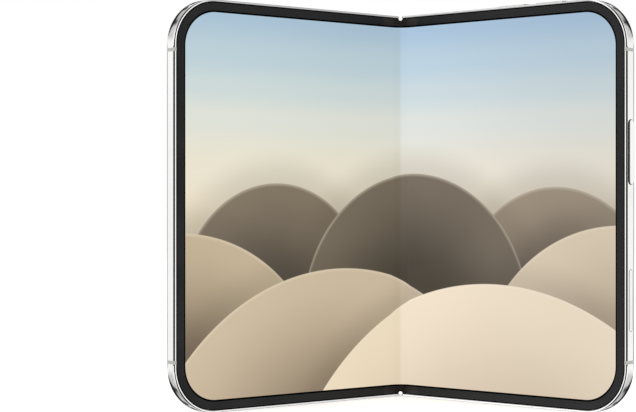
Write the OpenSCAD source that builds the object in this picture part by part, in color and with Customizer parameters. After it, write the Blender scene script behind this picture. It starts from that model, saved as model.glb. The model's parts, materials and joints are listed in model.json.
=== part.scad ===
// Book-style foldable phone, standing half open on its bottom edges.
// Each half is drawn flat first: u runs along +X from the fold line to the free edge,
// y is the depth from the display side (0) to the back, z is the height.
// The right half is then turned about its hinge pin, and the left half mirrors it.

/* [Halves] */
// Width of one half, from the fold line to its free edge
half_w = 84.1; // [80:0.1:88]
// Height of the phone
half_h = 121.7; // [116:0.1:126]
// Thickness of one half
half_t = 4.8; // [4.8:0.1:5.2]
// Radius of the outer corners
corner_r = 14; // [12:0.5:16]
// Thickness of the frame's side wall
wall_t = 2; // [1.8:0.1:2.4]
// Width of the metal lip round the bezel
lip_w = 0.75; // [0.6:0.05:0.9]
// Rounding of the frame's front edge
front_r = 0.3; // [0.2:0.05:0.5]
// Width of the metal lip round the back glass
back_lip_w = 0.95; // [0.9:0.05:1.2]
// Rounding of the frame's back edge
back_r = 0.8; // [0.5:0.05:0.9]
// Thickness of the back and cover glass
glass_t = 0.6; // [0.5:0.05:0.7]
// Width of the dark gasket round the back and cover glass
gasket_w = 0.3; // [0.2:0.05:0.4]

/* [Fold] */
// Angle of each half from flat, as the phone stands
rest_angle = 38; // [10:1:80]
// Distance of each hinge pin from the fold line
pin_u = 2.6; // [2.6:0.05:2.7]
// Depth of each hinge pin behind the display side
pin_y = 2.4; // [2.4:0.05:2.45]
// Radius of the spine's rounded back
barrel_r = 1.65; // [1.6:0.05:1.65]
// Wall of the spine
spine_wall = 0.6; // [0.5:0.05:0.6]
// Depth of the notch that opens at each end of the fold
notch_d = 1.4; // [1:0.05:1.5]
// Width of the flexible display zone on each side of the fold
fold_zone_w = 7; // [6.5:0.1:7.5]
// Radius of the valley that the display makes at the fold
valley_r = 5; // [4:0.1:6]

/* [Display] */
// Width of the black bezel
bezel_w = 2.85; // [2.5:0.05:3.2]
// Depth of the display behind the bezel
display_y = 0.2; // [0.15:0.05:0.25]
// Thickness of the display stack
display_t = 0.35; // [0.3:0.05:0.35]

/* [Camera] */
// Length of the camera plateau
plateau_l = 70.4; // [68:0.1:71]
// Height of the camera plateau across its round ends
plateau_h = 23; // [21:0.1:23.5]
// How far the plateau stands off the back
plateau_rise = 1.7; // [1.4:0.1:2]
// Outer diameter of a lens ring
ring_d = 16.7; // [15:0.1:17]
// How far a lens ring stands off the plateau
ring_rise = 1.8; // [1.4:0.1:2.2]
// Distance between the two lens rings
lens_pitch = 18.8; // [18:0.1:20]

/* [Buttons] */
// Length of the power button
power_l = 19; // [16:0.5:22]
// Length of the camera control
control_l = 18; // [15:0.5:20]
// Length of each volume button
volume_l = 11.1; // [9:0.1:11.5]
// Width of the pressed buttons
button_w = 2.8; // [2.2:0.1:2.8]
// How far the buttons stand off the frame
button_rise = 0.4; // [0.3:0.05:0.5]

/* [Hidden] */
$fn = 64;
over = 0.5;                               // how far a cutter passes a face
slack = 0.03;                             // gap round a piece that is bonded in its seat

seat_y = display_y + display_t;           // depth of the seat under the bezel and display
glass_y = half_t - glass_t;               // depth of the back glass's seat
mid_y = half_t / 2;

// The spine, seen along the fold: two round backs about the pins, with a flat between
bore_r = barrel_r - spine_wall;           // radius of the trough inside the spine
trough_back = pin_y + bore_r;
spine_front = seat_y + 0.2;
skin_u = 0.3;                             // where the frame's back skin ends at the fold
rail_u = 4.6;                             // the frame's rail beside the hinge
rail_t = 0.8;
rail_front = 2;
end_plate_t = lip_w;                      // thin walls that close the halves at the fold
end_plate_r = 1.9;
notch_r = 1.5;                            // radius of the notch at each end of the fold
spine_recess = notch_d + 0.05;            // from the phone's ends to the ends of the spine
glass_u = 5.7;                            // where the back glass starts

// Hinge module at each end of the spine, heights from the phone's nearest edge
module_z0 = spine_recess + spine_wall;
washer_z = 2.62;
washer_t = 0.33;
knuckle_z = 3;
knuckle_l = 3.5;
knuckle_r = 0.95;
gear_l = 1.6;
gear_z = knuckle_z + knuckle_l;
block_l = 12;
pin_r = 0.45;
idler_shaft_r = 0.3;
run = 0.03;                               // running clearance on the pins
arm_t = 0.9;
arm_play = 0.15;                          // room round an arm where it passes the rail
arm_end_u = 11;
arm_screw_u = 9;

// Four equal gears in line between the two pins
teeth = 12;
gear_pitch_r = pin_u / 3;
gear_module = 2 * gear_pitch_r / teeth;
pressure_angle = 28;
gear_tip_r = gear_pitch_r + 0.8 * gear_module;
gear_root_r = gear_pitch_r - gear_module;
gear_base_r = gear_pitch_r * cos(pressure_angle);
backlash = 1;                             // degrees taken off each tooth flank

// Support plates under the display beside the fold
wing_u = 8.6;
wing_y = 1;
wing_inner_u = 4.9;
wing_t = 0.2;
wing_ratio = 0.15;                        // tilt per degree of folding
wing_rod_r = 0.2;
wing_barrel_r = 0.38;
wing_z0 = 13.2;

// Places of the fittings, u from the fold line and z from the bottom edge
lens_u = half_w - 16.7;
camera_z = half_h - 15;
plateau_u = half_w - 5.2 - plateau_l / 2;
plateau_z = half_h - 15.3;
plateau_y = half_t + plateau_rise;
flash_u = half_w - 53;
flash_z = half_h - 19.6;
rear_mic_u = half_w - 51.8;
rear_mic_z = half_h - 10.3;
power_z = 76.5;
control_z = 33.4;
volume_up_u = 43.5;
volume_down_u = 57.2;
antenna_z = [15.5, half_h - 15.5];
antenna_w = 1;
antenna_d = 0.8;
port_u = 42;
port_w = 8.9;
port_h = 3.1;
port_wall = 0.28;
port_l = 6.6;
tongue = [6.6, 0.7, 5.6];
tongue_z = 0.8;
speaker_u = 58;
speaker_holes = 6;
mic_u = 28.85;
mic_holes = 2;
hole_r = 0.75;
hole_pitch = 2.3;
flash_r = 2.5;
rear_mic_r = 0.5;
cover_camera_u = 42;
cover_camera_z = half_h - 8.5;
cover_camera_r = 1.9;
cover_camera_foot = 3;
cover_display_t = 0.4;

// Buttons: a cap through the wall, and a flange behind it
flange_t = 0.4;
flange_z = wall_t + 0.3;
flange_l = 0.9;                           // how much longer and wider the flange is
flange_w = 0.4;
button_gap = 0.08;
button_travel = 0.25;
cap_r = 0.32;                             // rounding of a raised button's cap
pocket_play = 0.3;
control_w = 1.9;
control_rise = 0.05;
control_r = 0.12;

// Plates, glass, bezel and camera
mid_plate_t = 0.6;
mid_plate_u = wing_u + 0.5;
arm_boss_r = 1.2;
lug = [1.2, 0.9, 1.1];                    // lug that holds each end of the wing's rod
web_hole_r = 2;
web_hole_z = 8;
web_hole_u = [24, 32.5, 66, 73];
glass_in = back_lip_w + gasket_w + 0.02;  // inset of the back and cover glass
gasket_recess = 0.08;
bezel_foot = 0.85;
foot_r = 0.6;                             // soft foot of the camera plateau
shoulder_r = 0.9;
ring_w = 1.2;
rim_r = 0.35;
window_t = 0.5;
window_y = ring_rise - 0.3 - window_t;
module_y = 1.4;
module_r = 6.6;
lens_barrel_r = 3.6;
barrel_top = plateau_y + 0.2;

// Cells, boards, shield cans and the like, each as [u, y, z] and [width, depth, height]
cell_y = 1.3;
board_y = 1.4;
board_t = 0.8;
board_z = 87;
can_y = board_y + board_t;
right_cell = [[24, cell_y, 20], [52, 2.7, 64]];
left_cell = [[14, cell_y, 18], [60, 2.4, 78]];
right_cans = [[[16, can_y, 89], [18, 1.3, 9]], [[40, can_y, 88.5], [26, 1.5, 8]]];
left_board_box = [[14, board_y, 99], [52, board_t, 16]];
left_can = [[48, can_y, 101], [14, 1.3, 11]];
speaker_box = [[speaker_u - 7.5, cell_y, wall_t + 0.1], [15, 2.8, 11]];
haptic_box = [[13, board_y, wall_t + 0.6], [9, 2.4, 7]];
earpiece_box = [[24, can_y + 0.1, half_h - 6.1], [12, 1.3, 4]];
magnet = [1.5, 2.4, 6];
magnet_z = [44, 52, 60];

// Where the two display planes would meet, seen along the fold
apex_u = pin_u - (pin_u - (pin_y - display_y) * sin(rest_angle)) / cos(rest_angle);
apex_y = pin_y - (apex_u - pin_u) * sin(rest_angle) - (pin_y - display_y) * cos(rest_angle);
valley_y = apex_y - valley_r / cos(rest_angle);

// The whole phone is centred in depth over the origin
reach_front = pin_y - (half_w - pin_u) * sin(rest_angle) - pin_y * cos(rest_angle);
reach_back = pin_y + (pin_u - skin_u) * sin(rest_angle) + (half_t - pin_y) * cos(rest_angle);
shift_y = -(reach_front + reach_back) / 2;

silver = [0.82, 0.83, 0.84];
black = [0.06, 0.06, 0.07];
white = [0.93, 0.92, 0.9];

// ---- placing ----

module on_spine() translate([0, shift_y, 0]) children();
module on_right()
    on_spine() translate([pin_u, pin_y, 0]) rotate([0, 0, -rest_angle])
        translate([-pin_u, -pin_y, 0]) children();
module on_left() mirror([1, 0, 0]) on_right() children();
module both_ends() {
    children();
    translate([0, 0, half_h]) mirror([0, 0, 1]) children();
}
module both_sides() {
    children();
    mirror([1, 0, 0]) children();
}

// A flat shape in (u, z), as a plate of thickness t whose front lies at depth y
module plate(y, t)
    translate([0, y + t, 0]) rotate([90, 0, 0]) linear_extrude(t) children();
// A round piece whose axis runs through the depth, from y back to y + l
module stub(u, z, y, r, l)
    translate([u, y + l, z]) rotate([90, 0, 0]) cylinder(r = r, h = l);
// A rod along the fold
module rod(u, y, z, r, l) translate([u, y, z]) cylinder(r = r, h = l);
module block(u, y, z, size) translate([u, y, z]) cube(size);
module box(place_and_size) translate(place_and_size[0]) cube(place_and_size[1]);

module capsule(l, w) {
    square([l - w, w], center = true);
    for (s = [-1, 1]) translate([s * (l - w) / 2, 0]) circle(w / 2);
}

// ---- the shape of a half ----

// Outline of a half, drawn in by inset from the edge, from u_start outwards
module half_outline(inset, u_start) {
    translate([u_start, inset])
        square([half_w - corner_r - u_start, half_h - 2 * inset]);
    translate([u_start, corner_r])
        square([half_w - inset - u_start, half_h - 2 * corner_r]);
    for (z = [corner_r, half_h - corner_r])
        translate([half_w - corner_r, z]) circle(corner_r - inset);
}

// The side wall's section: distance in from the edge, against depth
module wall_section()
    difference() {
        union() {
            translate([front_r, front_r]) circle(front_r);
            translate([back_r, half_t - back_r]) circle(back_r);
            translate([0, front_r]) square([wall_t, half_t - front_r - back_r]);
            translate([front_r, 0]) square([lip_w - front_r, front_r]);
            translate([back_r, half_t - back_r]) square([back_lip_w - back_r, back_r]);
        }
        translate([lip_w, -over]) square([wall_t, seat_y + over]);
        translate([back_lip_w, glass_y]) square([wall_t, glass_t + over]);
    }

// Sweeps a section along the straight runs and round the corners of a half
module along_edge(u_start)
    both_ends() {
        translate([u_start, 0, 0]) rotate([0, 90, 0])
            linear_extrude(half_w - corner_r - u_start) mirror([1, 0]) children();
        translate([half_w - corner_r, 0, corner_r]) rotate([-90, 0, 0])
            rotate_extrude(angle = 90) translate([corner_r, 0]) mirror([1, 0]) children();
        translate([half_w, 0, corner_r])
            linear_extrude(half_h / 2 - corner_r) mirror([1, 0]) children();
    }

// The full section across the height, with the same rounded edges
module height_section()
    for (s = [0, 1]) translate([s * half_h, 0]) mirror([s, 0]) {
        translate([front_r, front_r]) circle(front_r);
        translate([back_r, half_t - back_r]) circle(back_r);
        translate([0, front_r]) square([half_h / 2, half_t - front_r - back_r]);
        translate([back_r, 0]) square([half_h / 2 - back_r, half_t]);
        translate([front_r, 0]) square([back_r, half_t / 2]);
    }

// The notch at each end of the fold, as a cutter through the depth
module fold_notch() both_ends() stub(0, notch_d - notch_r, -half_t, notch_r, 3 * half_t);

// The hinge side: a skin that covers the spine's back, a rail and the end plates
module hinge_side()
    difference() {
        intersection() {
            rotate([0, 90, 0]) linear_extrude(glass_u) mirror([1, 0]) height_section();
            union() {
                block(skin_u, glass_y, 0, [glass_u - skin_u, glass_t, half_h]);
                block(rail_u, rail_front, 0, [rail_t, half_t - rail_front, half_h]);
                both_ends() linear_extrude(end_plate_t) {
                    translate([pin_u, end_plate_r]) circle(end_plate_r);
                    translate([pin_u, 0]) square([glass_u - pin_u, half_t]);
                    translate([pin_u - end_plate_r, end_plate_r])
                        square([glass_u - pin_u, half_t - end_plate_r]);
                }
            }
        }
        fold_notch();
        both_ends()
            block(rail_u - over, pin_y - arm_t / 2 - arm_play, knuckle_z - arm_play,
                  [rail_t + 2 * over, arm_t + 2 * arm_play, knuckle_l + 2 * arm_play]);
    }

// Resin bands let into the outside of the wall near both free corners
module antenna_bands()
    for (z = antenna_z)
        translate([half_w, 0, z - antenna_w / 2]) linear_extrude(antenna_w)
            mirror([1, 0]) intersection() {
                wall_section();
                translate([0, -over]) square([antenna_d, half_t + 2 * over]);
            }

module frame_blank() {
    along_edge(rail_u) wall_section();
    hinge_side();
}

// ---- buttons, each a cap through the wall with a flange behind it ----

// Carries a half section (distance from the middle, height) round a pill shape
module pill(l, w)
    union() {
        for (s = [-1, 1]) translate([s * (l - w) / 2, 0, 0]) rotate_extrude() children();
        translate([-(l - w) / 2, 0, 0]) rotate([90, 0, 90]) linear_extrude(l - w) {
            children();
            mirror([1, 0]) children();
        }
    }

module cap_section(w, h, r) {
    translate([0, r]) square([w / 2, h - r]);
    square([w / 2 - r, h]);
    translate([w / 2 - r, r]) circle(r);
}

module key(l, w, rise, r) {
    translate([0, 0, -rise]) pill(l, w) cap_section(w, flange_z + rise, r);
    translate([0, 0, flange_z]) linear_extrude(flange_t) capsule(l + flange_l, w + flange_w);
}
// Room behind the wall for a key's flange and its travel
module key_pocket(l, w)
    translate([0, 0, wall_t - pocket_play]) linear_extrude(flange_t + button_travel + 3 * pocket_play)
        capsule(l + flange_l + 2 * pocket_play, w + flange_w + 2 * pocket_play);
// Turns a key's inward axis (+Z as drawn) to point in from the free edge or the top edge
module on_free_edge(z) translate([half_w, mid_y, z]) rotate([0, -90, 0]) children();
module on_top_edge(u) translate([u, mid_y, half_h]) mirror([0, 0, 1]) children();
module key_slot(l, w)
    translate([0, 0, -over]) linear_extrude(wall_t + 2 * over)
        capsule(l + 2 * button_gap, w + 2 * button_gap);

// ---- right half ----

// Round holes through the bottom wall, centred at u
module wall_holes(u, count)
    for (i = [0:count - 1])
        rod(u + (i - (count - 1) / 2) * hole_pitch, mid_y, -over, hole_r, wall_t + 2 * over);

module right_frame_cuts() {
    on_free_edge(power_z) key_slot(power_l, button_w);
    on_free_edge(control_z) key_slot(control_l, control_w);
    for (u = [volume_up_u, volume_down_u]) on_top_edge(u) key_slot(volume_l, button_w);
    translate([port_u, mid_y, -over]) linear_extrude(wall_t + 2 * over) capsule(port_w, port_h);
    wall_holes(speaker_u, speaker_holes);
    wall_holes(mic_u, mic_holes);
}

module right_frame()
    color(silver) on_right() difference() {
        frame_blank();
        right_frame_cuts();
        antenna_bands();
    }

// The plate under the display, with lugs for the wing's rod and bosses for the arms
module mid_plate() {
    arm_z = knuckle_z + knuckle_l / 2;
    difference() {
        union() {
            plate(seat_y, mid_plate_t) difference() {
                half_outline(wall_t, mid_plate_u);
                for (u = web_hole_u) translate([u, web_hole_z]) circle(web_hole_r);
            }
            both_ends() {
                block(glass_u, seat_y, wall_t,
                      [mid_plate_u + 0.1 - glass_u, mid_plate_t, wing_z0 - wall_t - 0.1]);
                block(wing_u - lug[0] / 2 + 0.1, seat_y, wing_z0 - lug[2] - 0.1, lug);
                stub(arm_screw_u, arm_z, seat_y, arm_boss_r, pin_y - arm_t / 2 - seat_y);
            }
        }
        both_ends() {
            rod(wing_u, wing_y, wing_z0 - 1.5, wing_rod_r, 2);
            stub(arm_screw_u, arm_z, seat_y - over, pin_r, mid_y);
        }
    }
}

module right_mid_plate()
    color([0.6, 0.61, 0.63]) on_right() difference() {
        mid_plate();
        on_free_edge(power_z) key_pocket(power_l, button_w);
        on_free_edge(control_z) key_pocket(control_l, control_w);
        for (u = [volume_up_u, volume_down_u]) on_top_edge(u) key_pocket(volume_l, button_w);
        block(port_u - port_w / 2 - pocket_play, -over, -over,
              [port_w + 2 * pocket_play, half_t, port_l + pocket_play + 2 * over]);
    }

module right_antenna_bands() color([0.8, 0.8, 0.79]) on_right() antenna_bands();

module back_pane() plate(glass_y, glass_t) half_outline(glass_in, glass_u);
module gasket()
    plate(glass_y, glass_t - gasket_recess) difference() {
        half_outline(back_lip_w + 0.01, glass_u);
        half_outline(glass_in - 0.01, glass_u - over);
    }

module rear_glass()
    color(white) on_right() difference() {
        back_pane();
        camera_holes(glass_y - over, glass_t + 2 * over);
    }
module rear_gasket() color(black) on_right() gasket();

// Holes for the lens barrels, the flash and the rear microphone, from depth y over l
module camera_holes(y, l) {
    for (i = [0, 1]) stub(lens_u - i * lens_pitch, camera_z, y, ring_d / 2 - 1, l);
    stub(flash_u, flash_z, y, flash_r + 0.1, l);
    stub(rear_mic_u, rear_mic_z, y, rear_mic_r, l);
}

// Half section of the plateau's edge: a soft foot, a low wall and a rounded shoulder
module plateau_edge() {
    r = plateau_h / 2;
    difference() {
        square([r + foot_r, foot_r]);
        translate([r + foot_r, foot_r]) circle(foot_r);
    }
    square([r, plateau_rise - shoulder_r]);
    square([r - shoulder_r, plateau_rise]);
    intersection() {
        translate([r - shoulder_r, plateau_rise - shoulder_r]) circle(shoulder_r);
        square([r, plateau_rise]);
    }
}

module camera_plateau()
    color(white) on_right() difference() {
        translate([plateau_u, half_t, plateau_z]) rotate([-90, 0, 0])
            pill(plateau_l, plateau_h) plateau_edge();
        camera_holes(half_t - over, plateau_rise + 2 * over);
    }

// Lens ring: a low wall with a rounded outer rim and a chamfer inside
module ring_section() {
    r = ring_d / 2;
    difference() {
        union() {
            translate([r - ring_w, 0]) square([ring_w, ring_rise - rim_r]);
            translate([r - ring_w, 0]) square([ring_w - rim_r, ring_rise]);
            translate([r - rim_r, ring_rise - rim_r]) circle(rim_r);
        }
        polygon([[r - ring_w - 0.1, ring_rise - 0.25], [r - ring_w + 0.35, ring_rise + 0.2],
                 [r - ring_w - 0.1, ring_rise + 0.2]]);
    }
}

module at_lenses()
    for (i = [0, 1]) translate([lens_u - i * lens_pitch, plateau_y, camera_z])
        rotate([-90, 0, 0]) children();

module camera_rings() color(silver) on_right() at_lenses() rotate_extrude() ring_section();

module camera_windows()
    color([0.03, 0.03, 0.04]) on_right() at_lenses()
        translate([0, 0, window_y]) cylinder(r = ring_d / 2 - ring_w - 0.03, h = window_t);

module camera_modules()
    color([0.12, 0.12, 0.13]) on_right() for (i = [0, 1]) {
        u = lens_u - i * lens_pitch;
        stub(u, camera_z, module_y, module_r, barrel_top - module_y);
        stub(u, camera_z, barrel_top - over, lens_barrel_r, window_y - 0.3 + over);
    }

module flash_window()
    color([0.95, 0.93, 0.85]) on_right()
        stub(flash_u, flash_z, half_t - 0.2, flash_r, plateau_rise + 0.2);

module right_battery() color([0.25, 0.25, 0.27]) on_right() box(right_cell);

module main_board()
    color([0.1, 0.28, 0.18]) on_right() difference() {
        union() {
            plate(board_y, board_t) difference() {
                half_outline(wall_t + 1.2, 12);
                translate([0, -over]) square([half_w, board_z + over]);
            }
            for (can = right_cans) box(can);
        }
        for (i = [0, 1]) stub(lens_u - i * lens_pitch, camera_z, 0, module_r + 0.4, half_t);
        for (u = [volume_up_u, volume_down_u]) on_top_edge(u) key_pocket(volume_l, button_w);
    }

module usb_port()
    color([0.7, 0.7, 0.72]) on_right() translate([port_u, mid_y, 0.1]) {
        difference() {
            linear_extrude(port_l) capsule(port_w, port_h);
            translate([0, 0, -over]) linear_extrude(port_l - 0.5 + over)
                capsule(port_w - 2 * port_wall, port_h - 2 * port_wall);
        }
        translate([-tongue[0] / 2, -tongue[1] / 2, tongue_z]) cube(tongue);
    }

module bottom_speaker() color(black) on_right() box(speaker_box);
module haptic_motor() color([0.55, 0.55, 0.56]) on_right() box(haptic_box);

// Bezel ring, over the display's edge, with a foot that stands on the frame's seat
module bezel() {
    plate(0, display_y) difference() {
        half_outline(lip_w + slack, fold_zone_w);
        half_outline(lip_w + bezel_w, fold_zone_w - over);
    }
    plate(display_y, display_t) difference() {
        half_outline(lip_w + slack, fold_zone_w);
        half_outline(lip_w + bezel_foot, fold_zone_w - over);
    }
}
module display_panel() plate(display_y, display_t) half_outline(lip_w + bezel_foot + 0.05, fold_zone_w);

module right_bezel() color(black) on_right() bezel();
module right_display() color([0.78, 0.82, 0.84]) on_right() display_panel();

module magnets() for (z = magnet_z) block(half_w - wall_t - 3.6, board_y, z, magnet);
module right_magnets() color([0.5, 0.5, 0.52]) on_right() magnets();

module volume_button(u) on_right() on_top_edge(u) key(volume_l, button_w, button_rise, cap_r);
module power_button()
    color(silver) on_right() on_free_edge(power_z) key(power_l, button_w, button_rise, cap_r);
module camera_control()
    color(silver) on_right() on_free_edge(control_z) key(control_l, control_w, control_rise, control_r);
module volume_up_button() color(silver) volume_button(volume_up_u);
module volume_down_button() color(silver) volume_button(volume_down_u);

// ---- hinge ----

// Half the angle that a tooth takes at radius r, along an involute flank
function involute(r) =
    let (a = acos(min(1, gear_base_r / r))) tan(a) * 180 / PI - a;
function half_tooth(r) =
    90 / teeth - backlash + involute(gear_pitch_r) - involute(max(r, gear_base_r));
flank = [gear_root_r, gear_base_r, gear_pitch_r, (gear_pitch_r + gear_tip_r) / 2, gear_tip_r];
function polar(r, a) = [r * cos(a), r * sin(a)];
function gear_points(phase) = [
    for (k = [0:teeth - 1], side = [-1, 1], i = [0:len(flank) - 1])
        let (r = flank[side < 0 ? i : len(flank) - 1 - i])
            polar(r, phase + 360 * k / teeth + side * half_tooth(r))
];
tooth_gap = 180 / teeth;                  // phase that puts a gap where a tooth was

module arm_body() {
    z = knuckle_z;
    difference() {
        union() {
            rod(pin_u, pin_y, z, knuckle_r, knuckle_l);
            block(pin_u, pin_y - arm_t / 2, z, [arm_end_u - pin_u, arm_t, knuckle_l]);
        }
        stub(arm_screw_u, z + knuckle_l / 2, 0, pin_r, half_t);
    }
}

module hinge_arms(side, phase)
    both_ends() difference() {
        union() {
            if (side > 0) on_right() arm_body(); else on_left() arm_body();
            on_spine() translate([side * pin_u, pin_y, gear_z - 0.1])
                linear_extrude(gear_l + 0.1) polygon(gear_points(phase));
        }
        on_spine() rod(side * pin_u, pin_y, 0, pin_r + run, half_h / 4);
    }

module right_hinge_arms() color([0.5, 0.5, 0.53]) hinge_arms(1, 0);
module left_hinge_arms() color([0.5, 0.5, 0.53]) hinge_arms(-1, tooth_gap);

module arm_screw()
    both_ends() {
        z = knuckle_z + knuckle_l / 2;
        stub(arm_screw_u, z, seat_y + 0.1, pin_r, pin_y + arm_t / 2 - seat_y - 0.1);
        difference() {
            stub(arm_screw_u, z, pin_y + arm_t / 2, 0.85, 0.5);
            stub(arm_screw_u, z, pin_y + arm_t / 2 + 0.25, 0.35, 1);
        }
    }
module right_arm_screws() color([0.3, 0.3, 0.32]) on_right() arm_screw();
module left_arm_screws() color([0.3, 0.3, 0.32]) on_left() arm_screw();

module idler_gears(side, phase)
    both_ends() on_spine() translate([side * gear_pitch_r, pin_y, gear_z + 0.05])
        linear_extrude(gear_l - 0.1) difference() {
            polygon(gear_points(phase));
            circle(idler_shaft_r + run);
        }
module idler_gears_right() color([0.75, 0.65, 0.4]) idler_gears(1, tooth_gap);
module idler_gears_left() color([0.75, 0.65, 0.4]) idler_gears(-1, 0);

module hinge_pins()
    color([0.6, 0.6, 0.62]) on_spine() both_ends() both_sides() {
        rod(pin_u, pin_y, module_z0, pin_r, gear_z + gear_l + 1.4 - module_z0);
        rod(gear_pitch_r, pin_y, gear_z - 0.8, idler_shaft_r, gear_l + 1.6);
    }

module friction_washers()
    color([0.8, 0.7, 0.5]) on_spine() both_ends() both_sides()
        translate([pin_u, pin_y, washer_z]) linear_extrude(washer_t) difference() {
            circle(knuckle_r - 0.05);
            circle(pin_r + run);
        }

// Two round backs about the pins joined by a flat, seen along the fold
module spine_profile(r, front) {
    for (s = [-1, 1]) translate([s * pin_u, pin_y]) circle(r);
    translate([-pin_u, front]) square([2 * pin_u, pin_y + r - front]);
}

module spine_cover()
    color(silver) on_spine() difference() {
        union() {
            translate([0, 0, spine_recess]) linear_extrude(half_h - 2 * spine_recess)
                difference() {
                    spine_profile(barrel_r, pin_y);
                    translate([-half_t * 2, -half_t]) square([half_t * 4, pin_y + half_t]);
                }
            both_ends() translate([0, 0, spine_recess]) linear_extrude(spine_wall)
                spine_profile(barrel_r, spine_front);
        }
        translate([0, 0, module_z0]) linear_extrude(half_h - 2 * module_z0)
            spine_profile(bore_r, spine_front);
        both_ends() both_sides()
            block(pin_u + 0.4, pin_y - over, knuckle_z - arm_play,
                  [3, over + arm_t / 2 + arm_play, knuckle_l + 2 * arm_play]);
    }

// Carries the pins and the gear shafts, open where the knuckles and gears turn
module hinge_block_at_bottom() {
    fit = 0.03;
    core = 1.5;
    difference() {
        translate([0, 0, module_z0]) linear_extrude(block_l - module_z0)
            spine_profile(bore_r - fit, spine_front);
        both_sides() {
            translate([0, 0, washer_z - 0.02])
                linear_extrude(gear_z - washer_z + 0.02) {
                    translate([core, -over]) square([half_t, half_t + over]);
                    translate([pin_u, pin_y]) circle(knuckle_r + 0.08);
                }
            rod(pin_u, pin_y, 0, pin_r, block_l);
            rod(gear_pitch_r, pin_y, gear_z - 0.8, idler_shaft_r, gear_l + 1.6);
        }
        translate([0, 0, gear_z - 0.01]) linear_extrude(gear_l + 0.1)
            intersection() {
                spine_profile(gear_tip_r + 0.06, pin_y - gear_tip_r - 0.06);
                translate([-half_t, 0]) square([2 * half_t, half_t]);
            }
        translate([0, 0, gear_z - 0.01]) linear_extrude(gear_l + 0.1) both_sides()
            translate([core, -over]) square([half_t, half_t + over]);
        stub(0, block_l - 1.3, spine_front - over, 0.4, half_t);
        stub(0, block_l - 1.3, spine_front - over, 0.85, over + 0.5);
    }
}
module hinge_block_bottom() color([0.45, 0.45, 0.48]) on_spine() hinge_block_at_bottom();
module hinge_block_top()
    color([0.45, 0.45, 0.48]) on_spine() translate([0, 0, half_h]) mirror([0, 0, 1])
        hinge_block_at_bottom();

module spine_screws()
    color([0.3, 0.3, 0.32]) on_spine() both_ends() {
        stub(0, block_l - 1.3, spine_front + 0.1, 0.4, trough_back - spine_front - 0.1);
        difference() {
            stub(0, block_l - 1.3, spine_front + 0.05, 0.8, 0.45);
            stub(0, block_l - 1.3, spine_front - over, 0.35, over + 0.3);
        }
    }

// A rib that stands in the trough and backs the display along the fold
module centre_support()
    color([0.5, 0.5, 0.52]) on_spine()
        translate([0, 0, block_l + 0.1]) linear_extrude(half_h - 2 * block_l - 0.2) {
            translate([-1.9, seat_y + 0.15]) square([3.8, 0.25]);
            translate([-0.4, seat_y + 0.3]) square([0.8, trough_back - seat_y - 0.3]);
        }

// ---- wing plates that back the display beside the fold ----

module wing_plate() {
    l = half_h - 2 * wing_z0;
    translate([wing_u, wing_y, wing_z0]) rotate([0, 0, -wing_ratio * rest_angle])
        linear_extrude(l) difference() {
            union() {
                circle(wing_barrel_r);
                translate([wing_inner_u - wing_u, seat_y + 0.05 - wing_y])
                    square([wing_u - wing_inner_u, wing_t]);
            }
            circle(wing_rod_r + run);
        }
}
module wing_rod() rod(wing_u, wing_y, wing_z0 - 1, wing_rod_r, half_h - 2 * wing_z0 + 2);
module right_wing_plate() color([0.7, 0.7, 0.72]) on_right() wing_plate();
module left_wing_plate() color([0.7, 0.7, 0.72]) on_left() wing_plate();
module right_wing_rod() color([0.6, 0.6, 0.62]) on_right() wing_rod();
module left_wing_rod() color([0.6, 0.6, 0.62]) on_left() wing_rod();

// ---- flexible strips across the fold: an arc in the middle, then flat on each half ----

arc_steps = 16;
// A point of the right half, seen along the fold as the phone stands
function standing(u, y) = [
    pin_u + (u - pin_u) * cos(rest_angle) + (y - pin_y) * sin(rest_angle),
    pin_y - (u - pin_u) * sin(rest_angle) + (y - pin_y) * cos(rest_angle)
];
function valley_arc(r) = [
    for (i = [0:arc_steps]) [0, valley_y] + polar(r, 90 - rest_angle * i / arc_steps)
];
function reversed(list) = [for (i = [len(list) - 1:-1:0]) list[i]];

// front is the strip's place in front of or behind the display's surface, t its thickness
module fold_strip(front, t, z0, z1)
    on_spine() translate([0, 0, z0]) linear_extrude(z1 - z0)
        polygon(concat(
            valley_arc(valley_r + front),
            [standing(fold_zone_w, display_y + front), standing(fold_zone_w, display_y + front + t)],
            reversed(valley_arc(valley_r + front + t))
        ));

module fold_display() fold_strip(0, display_t, spine_recess + 0.1, half_h - spine_recess - 0.1);
module fold_bezel()
    difference() {
        both_ends() fold_strip(-display_y, display_y, lip_w + slack, lip_w + bezel_w);
        on_spine() fold_notch();
    }

module fold_display_right() color([0.78, 0.82, 0.84]) fold_display();
module fold_display_left() color([0.78, 0.82, 0.84]) mirror([1, 0, 0]) fold_display();
module fold_bezel_right() color(black) fold_bezel();
module fold_bezel_left() color(black) mirror([1, 0, 0]) fold_bezel();

// ---- left half, with the cover display on its back ----

module left_frame()
    color(silver) on_left() difference() {
        frame_blank();
        antenna_bands();
        translate([0, 0, half_h]) mirror([0, 0, 1]) wall_holes(cover_camera_u, speaker_holes);
    }
module left_mid_plate() color([0.6, 0.61, 0.63]) on_left() mid_plate();
module left_antenna_bands() color([0.8, 0.8, 0.79]) on_left() antenna_bands();
module cover_glass()
    color(black) on_left() difference() {
        back_pane();
        stub(cover_camera_u, cover_camera_z, glass_y - over, cover_camera_r, glass_t + 2 * over);
    }
module cover_gasket() color(black) on_left() gasket();
module cover_display()
    color([0.05, 0.05, 0.06]) on_left() difference() {
        plate(glass_y - cover_display_t, cover_display_t) half_outline(wall_t + 0.3, glass_u + 1);
        stub(cover_camera_u, cover_camera_z, glass_y - 1, cover_camera_r + 0.2, 2);
    }
module cover_camera()
    color([0.03, 0.03, 0.04]) on_left() {
        stub(cover_camera_u, cover_camera_z, cell_y, cover_camera_r - 0.05, glass_y + 0.5 - cell_y);
        stub(cover_camera_u, cover_camera_z, cell_y, cover_camera_foot, 1.8);
    }
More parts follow.
